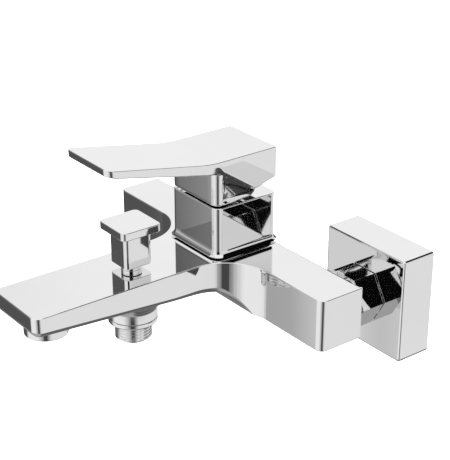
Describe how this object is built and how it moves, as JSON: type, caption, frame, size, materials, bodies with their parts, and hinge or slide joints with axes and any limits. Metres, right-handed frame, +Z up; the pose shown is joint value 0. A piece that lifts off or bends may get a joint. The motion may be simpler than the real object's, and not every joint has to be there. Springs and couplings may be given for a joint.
{
  "type": "wall mounted bath faucet",
  "caption": "Square-edged wall mounted bath and shower mixer with a flat spout, lever handle, pull-up diverter knob and swivel-nut inlets.",
  "frame": {"origin": "on the wall plane, midway between the two inlets, at the height of the inlet axes", "axes": "+Z up, the wall is the plane y = 0 and the faucet stands out from it along -Y, +X runs along the wall"},
  "size_m": [0.212, 0.215, 0.1189],
  "materials": {
    "chrome": "polished chrome plate",
    "brass": "machined brass",
    "steel": "turned stainless steel",
    "rubber": "matt black rubber",
    "acetal": "moulded white acetal",
    "ceramic": "lapped ceramic",
    "grey_plastic": "satin grey plastic"
  },
  "bodies": {
    "body": {"body_casting": "chrome", "eccentric_union_left": "chrome", "eccentric_union_right": "chrome", "escutcheon_left": "chrome", "escutcheon_right": "chrome", "union_washer_left": "rubber", "union_washer_right": "rubber", "inlet_tail_left": "chrome", "inlet_tail_right": "chrome", "cartridge_gasket": "rubber", "cartridge_base": "acetal", "cartridge_fixed_disc": "ceramic", "cartridge_housing": "acetal", "cartridge_retaining_nut": "brass", "cartridge_sleeve": "chrome", "sleeve_gasket": "rubber", "diverter_spring": "steel", "diverter_bonnet": "chrome", "diverter_rod_seal": "rubber", "shower_outlet_nipple": "chrome", "aerator_ring": "chrome", "aerator_insert": "acetal", "aerator_washer": "rubber"},
    "cartridge_turret": {"cartridge_stem_carrier": "acetal", "cartridge_pivot_pin": "steel"},
    "lever": {"lever_handle": "chrome", "handle_set_screw": "steel", "handle_screw_plug": "grey_plastic", "cartridge_stem": "brass"},
    "valve_disc": {"cartridge_moving_disc": "ceramic"},
    "diverter_knob": {"diverter_knob_cap": "chrome", "diverter_knob_neck": "chrome", "diverter_rod": "steel", "diverter_disc": "brass", "diverter_seal": "rubber"},
    "left_nut": {"union_nut_left": "chrome"},
    "right_nut": {"union_nut_right": "chrome"}
  },
  "joints": [
    {"name": "handle_turn", "type": "hinge", "parent": "body", "child": "cartridge_turret", "pos_m": [0, -0.0625, 0.033], "axis": [0, 0, 1], "range_deg": [-45, 45]},
    {"name": "handle_lift", "type": "hinge", "parent": "cartridge_turret", "child": "lever", "pos_m": [0, -0.0625, 0.033], "axis": [-1, 0, 0], "range_deg": [0, 20]},
    {"name": "disc_slide", "type": "slide", "parent": "cartridge_turret", "child": "valve_disc", "axis": [0, -1, 0], "range_m": [0, 0.0042]},
    {"name": "diverter_pull", "type": "slide", "parent": "body", "child": "diverter_knob", "axis": [0, 0, 1], "range_m": [0, 0.008], "stiffness_N_per_m": 120, "springref_m": -0.006, "deforming": ["diverter_spring"]},
    {"name": "left_nut_spin", "type": "hinge", "parent": "body", "child": "left_nut", "pos_m": [-0.075, -0.03, 0], "axis": [0, -1, 0], "continuous": true},
    {"name": "right_nut_spin", "type": "hinge", "parent": "body", "child": "right_nut", "pos_m": [0.075, -0.03, 0], "axis": [0, -1, 0], "continuous": true}
  ],
  "couplings": [
    {"joint": "disc_slide", "follows": "handle_lift", "m_per_rad": 0.012}
  ]
}
